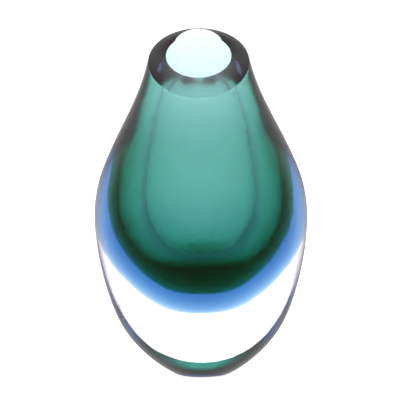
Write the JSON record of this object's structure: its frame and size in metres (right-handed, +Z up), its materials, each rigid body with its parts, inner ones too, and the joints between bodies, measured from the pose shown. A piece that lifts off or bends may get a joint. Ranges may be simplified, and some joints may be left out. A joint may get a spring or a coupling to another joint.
{
  "type": "cased glass vase",
  "caption": "Heavy hand blown teardrop vase in green, blue and clear cased glass, with a polished slant-cut mouth and a thick clear foot.",
  "frame": {"origin": "centre of the flat foot, on the surface the vase stands on", "axes": "+Z up along the vase's centre line, -Y to the front, where the slanted mouth is lowest"},
  "size_m": [0.1242, 0.1242, 0.2031],
  "materials": {
    "clear_glass": "polished, with a finely ground foot",
    "blue_glass": "polished",
    "green_glass": "polished"
  },
  "bodies": {
    "root": {"clear_casing": "clear_glass", "blue_overlay": "blue_glass", "green_core": "green_glass"}
  },
  "joints": []
}
